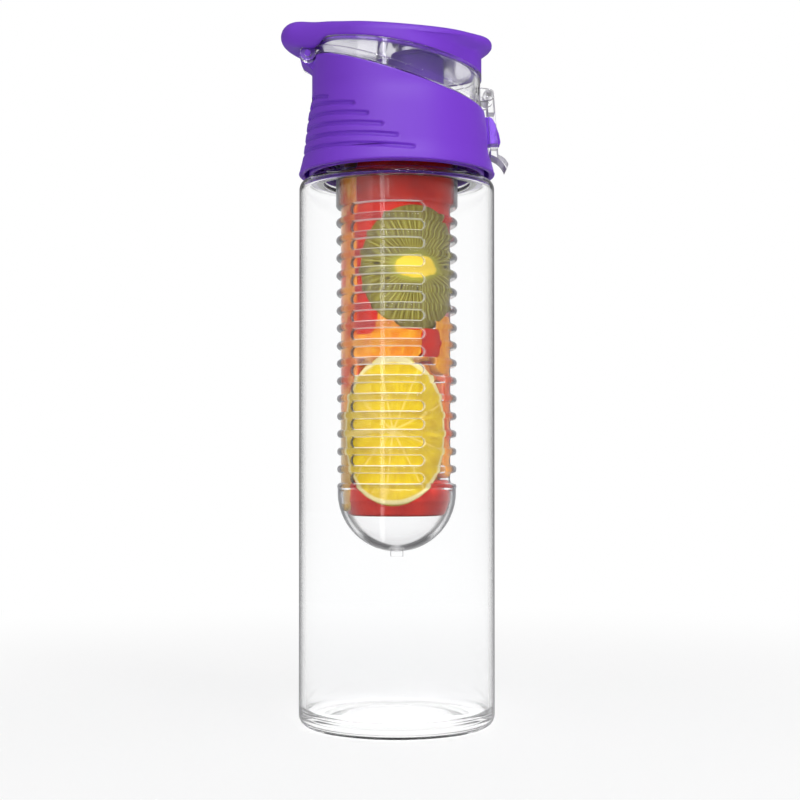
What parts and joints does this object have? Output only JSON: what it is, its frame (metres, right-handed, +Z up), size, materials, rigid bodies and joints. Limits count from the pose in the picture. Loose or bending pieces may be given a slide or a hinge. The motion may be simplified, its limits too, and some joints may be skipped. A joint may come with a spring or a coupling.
{
  "type": "fruit infuser water bottle",
  "caption": "Clear bottle with a hanging fruit infuser basket, a screw lid, a clear flip cover over the spout and a snap latch.",
  "frame": {"origin": "centre of the foot ring, on the plane that the bottle stands on", "axes": "+Z up along the bottle's axis, +X from the cover's hinge towards the latch, +Y completes a right-handed frame"},
  "size_m": [0.0862, 0.0734, 0.2629],
  "materials": {
    "clear_plastic": "glossy, clear",
    "purple_plastic": "satin",
    "purple_silicone": "matt",
    "clear_silicone": "matt, milky"
  },
  "bodies": {
    "bottle": {"bottle_body": "clear_plastic"},
    "infuser": {"infuser_basket": "clear_plastic", "infuser_seal": "clear_silicone"},
    "seal": {"lid_seal": "clear_silicone"},
    "lid": {"lid_base": "purple_plastic", "spout": "purple_plastic", "hinge_pin": "purple_plastic"},
    "cover": {"flip_cover": "clear_plastic", "cover_top": "purple_plastic", "spout_seal": "purple_silicone", "vent_plug": "purple_silicone", "latch_pin": "clear_plastic"},
    "latch": {"latch": "clear_plastic"}
  },
  "joints": [
    {"name": "infuser_lift", "type": "slide", "parent": "bottle", "child": "infuser", "axis": [0, 0, 1], "range_m": [0, 0.185]},
    {"name": "lid_rise", "type": "slide", "parent": "infuser", "child": "seal", "axis": [0, 0, 1], "range_m": [0, 0.00675]},
    {"name": "lid_turn", "type": "hinge", "parent": "seal", "child": "lid", "pos_m": [0, 0, 0.2253], "axis": [0, 0, 1], "range_deg": [0, 540]},
    {"name": "cover_hinge", "type": "hinge", "parent": "lid", "child": "cover", "pos_m": [-0.033, 0, 0.2495], "axis": [0, -1, 0], "range_deg": [0, 100]},
    {"name": "latch_hinge", "type": "hinge", "parent": "cover", "child": "latch", "pos_m": [0.0341, 0, 0.2344], "axis": [0, -1, 0], "range_deg": [0, 95]}
  ],
  "couplings": [
    {"joint": "lid_rise", "follows": "lid_turn", "m_per_rad": 0.0007162}
  ]
}
